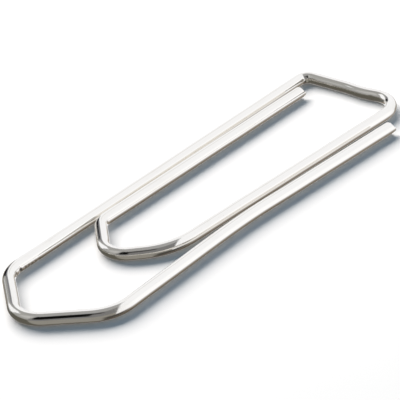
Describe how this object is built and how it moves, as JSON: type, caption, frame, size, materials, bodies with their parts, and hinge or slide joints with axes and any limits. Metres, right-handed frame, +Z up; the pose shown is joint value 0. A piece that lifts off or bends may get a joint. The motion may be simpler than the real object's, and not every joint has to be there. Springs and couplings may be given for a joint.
{
  "type": "paper clip",
  "caption": "Flat paper clip of bent plated steel wire with pointed noses and a square end, whose sprung inner loop lifts to grip sheets of paper.",
  "frame": {"origin": "under the middle of the clip's footprint, on the surface that it lies on", "axes": "+X along the clip from the square end to the pointed noses, +Y across it from the long leg to the outer free leg, +Z up through the wire"},
  "size_m": [0.032, 0.0104, 0.0008],
  "materials": {
    "plated_wire": "bright plated drawn steel wire with faint draw lines and forming marks"
  },
  "bodies": {
    "outer_frame": {"outer_nose_long_side": "plated_wire", "outer_long_leg": "plated_wire", "end_bend_outer_side": "plated_wire"},
    "tongue": {"end_bend_inner_side": "plated_wire", "inner_leg": "plated_wire", "inner_nose_leg_side": "plated_wire"},
    "inner_arm": {"inner_nose_free_side": "plated_wire", "inner_free_leg": "plated_wire"},
    "outer_arm": {"outer_nose_free_side": "plated_wire", "outer_free_leg": "plated_wire"}
  },
  "joints": [
    {"name": "tongue_lift", "type": "hinge", "parent": "outer_frame", "child": "tongue", "pos_m": [-0.01554, -0.00152, 0.0004], "axis": [0, -1, 0], "range_deg": [-8, 8], "stiffness_Nm_per_rad": 0.17},
    {"name": "inner_arm_flex", "type": "hinge", "parent": "tongue", "child": "inner_arm", "pos_m": [0.00795, -0.00077, 0.0004], "axis": [0, 1, 0], "range_deg": [-5, 5], "stiffness_Nm_per_rad": 0.26},
    {"name": "outer_arm_flex", "type": "hinge", "parent": "outer_frame", "child": "outer_arm", "pos_m": [0.01558, -0.00049, 0.0004], "axis": [0, 1, 0], "range_deg": [-5, 5], "stiffness_Nm_per_rad": 0.19}
  ]
}
